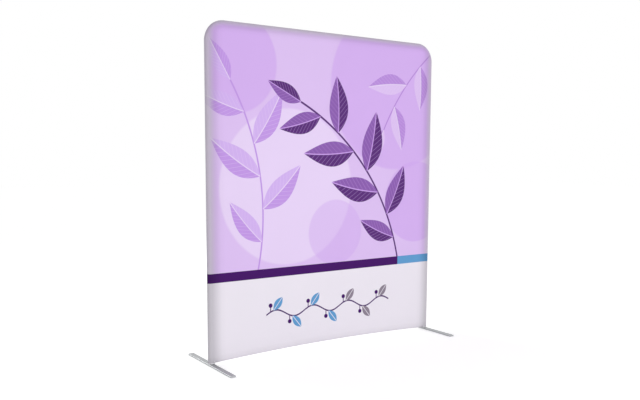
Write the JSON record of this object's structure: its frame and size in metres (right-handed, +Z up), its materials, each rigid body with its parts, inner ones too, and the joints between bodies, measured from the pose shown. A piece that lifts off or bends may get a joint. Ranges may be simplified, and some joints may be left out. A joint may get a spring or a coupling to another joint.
{
  "type": "display wall",
  "caption": "Free-standing tension-cloth display wall: round-tube frame with rounded top corners, zipped stretch cover and flat swivelling foot plates.",
  "frame": {"origin": "on the floor under the middle of the wall", "axes": "+X along the wall to the right as seen from the front, -Y out of the printed front, +Z up"},
  "size_m": [1.99, 0.648, 2.3],
  "materials": {
    "tube": "satin anodised",
    "sleeve": "mill",
    "plug": "turned",
    "foot_metal": "silver grey satin powder coat",
    "zinc_steel": "zinc plated",
    "washer": "moulded nylon",
    "pad_rubber": "matt",
    "rivet": "satin",
    "button_steel": "nickel plated",
    "spring_steel": "hardened strip",
    "printed_cloth": "dye printed stretch polyester",
    "plain_cloth": "white stretch polyester",
    "zip_tape": "woven tape",
    "zip_teeth": "moulded",
    "zip_metal": "nickel plated"
  },
  "bodies": {
    "frame": {"lower_upright_left": "tube", "corner_pole_left": "tube", "top_rail_left": "tube", "bottom_rail_left": "tube", "end_plug_left": "plug", "rail_stub_left": "sleeve", "upright_left_sleeve": "sleeve", "corner_left_sleeve": "sleeve", "foot_screw_left": "zinc_steel", "foot_washer_left": "washer", "lower_upright_right": "tube", "corner_pole_right": "tube", "top_rail_right": "tube", "bottom_rail_right": "tube", "end_plug_right": "plug", "rail_stub_right": "sleeve", "upright_right_sleeve": "sleeve", "corner_right_sleeve": "sleeve", "foot_screw_right": "zinc_steel", "foot_washer_right": "washer", "top_sleeve": "sleeve", "bottom_sleeve": "sleeve", "stub_bolts": "zinc_steel", "sleeve_rivets": "rivet", "leaf_spring_top": "spring_steel", "leaf_spring_bottom": "spring_steel", "leaf_spring_upright_left": "spring_steel", "leaf_spring_upright_right": "spring_steel", "leaf_spring_corner_left": "spring_steel", "leaf_spring_corner_right": "spring_steel", "leaf_spring_stub_left": "spring_steel", "leaf_spring_stub_right": "spring_steel", "front_panel": "printed_cloth", "back_panel": "plain_cloth", "zip_tape_lower": "zip_tape", "zip_tape_upper": "zip_tape", "zip_teeth_lower": "zip_teeth", "zip_teeth_upper": "zip_teeth", "zip_stops": "zip_metal"},
    "left_foot": {"foot_plate_left": "foot_metal", "foot_pads_left": "pad_rubber"},
    "right_foot": {"foot_plate_right": "foot_metal", "foot_pads_right": "pad_rubber"},
    "slider": {"zip_slider": "zip_metal"},
    "pull_tab": {"zip_pull": "zip_metal"},
    "button_top": {"snap_button_top": "button_steel"},
    "button_bottom": {"snap_button_bottom": "button_steel"},
    "button_upright_left": {"snap_button_upright_left": "button_steel"},
    "button_upright_right": {"snap_button_upright_right": "button_steel"},
    "button_corner_left": {"snap_button_corner_left": "button_steel"},
    "button_corner_right": {"snap_button_corner_right": "button_steel"},
    "button_stub_left": {"snap_button_stub_left": "button_steel"},
    "button_stub_right": {"snap_button_stub_right": "button_steel"}
  },
  "joints": [
    {"name": "left_foot_swivel", "type": "hinge", "parent": "frame", "child": "left_foot", "pos_m": [-0.9749, 0, 0.012], "axis": [0, 0, 1], "range_deg": [-90, 90]},
    {"name": "right_foot_swivel", "type": "hinge", "parent": "frame", "child": "right_foot", "pos_m": [0.9749, 0, 0.012], "axis": [0, 0, 1], "range_deg": [-90, 90]},
    {"name": "zip_run", "type": "hinge", "parent": "frame", "child": "slider", "pos_m": [0, 0, -18.961], "axis": [0, 1, 0], "range_deg": [0, 5.6], "deforming": ["zip_teeth_lower", "zip_teeth_upper"]},
    {"name": "pull_swing", "type": "hinge", "parent": "slider", "child": "pull_tab", "pos_m": [-0.92986, 0.0231, 0.05238], "axis": [-0.0488, 0, 0.9988], "range_deg": [0, 165]},
    {"name": "top_button_press", "type": "slide", "parent": "frame", "child": "button_top", "axis": [0, 0, 1], "range_m": [0, 0.005], "stiffness_N_per_m": 2500, "springref_m": -0.002, "deforming": ["leaf_spring_top"]},
    {"name": "bottom_button_press", "type": "slide", "parent": "frame", "child": "button_bottom", "axis": [0, 0, -1], "range_m": [0, 0.005], "stiffness_N_per_m": 2500, "springref_m": -0.002, "deforming": ["leaf_spring_bottom"]},
    {"name": "upright_left_button_press", "type": "slide", "parent": "frame", "child": "button_upright_left", "axis": [-1, 0, 0], "range_m": [0, 0.005], "stiffness_N_per_m": 2500, "springref_m": -0.002, "deforming": ["leaf_spring_upright_left"]},
    {"name": "upright_right_button_press", "type": "slide", "parent": "frame", "child": "button_upright_right", "axis": [1, 0, 0], "range_m": [0, 0.005], "stiffness_N_per_m": 2500, "springref_m": -0.002, "deforming": ["leaf_spring_upright_right"]},
    {"name": "corner_left_button_press", "type": "slide", "parent": "frame", "child": "button_corner_left", "axis": [0, 0, 1], "range_m": [0, 0.005], "stiffness_N_per_m": 2500, "springref_m": -0.002, "deforming": ["leaf_spring_corner_left"]},
    {"name": "corner_right_button_press", "type": "slide", "parent": "frame", "child": "button_corner_right", "axis": [0, 0, 1], "range_m": [0, 0.005], "stiffness_N_per_m": 2500, "springref_m": -0.002, "deforming": ["leaf_spring_corner_right"]},
    {"name": "stub_left_button_press", "type": "slide", "parent": "frame", "child": "button_stub_left", "axis": [0.0478, 0, -0.9989], "range_m": [0, 0.005], "stiffness_N_per_m": 2500, "springref_m": -0.002, "deforming": ["leaf_spring_stub_left"]},
    {"name": "stub_right_button_press", "type": "slide", "parent": "frame", "child": "button_stub_right", "axis": [-0.0478, 0, -0.9989], "range_m": [0, 0.005], "stiffness_N_per_m": 2500, "springref_m": -0.002, "deforming": ["leaf_spring_stub_right"]}
  ]
}
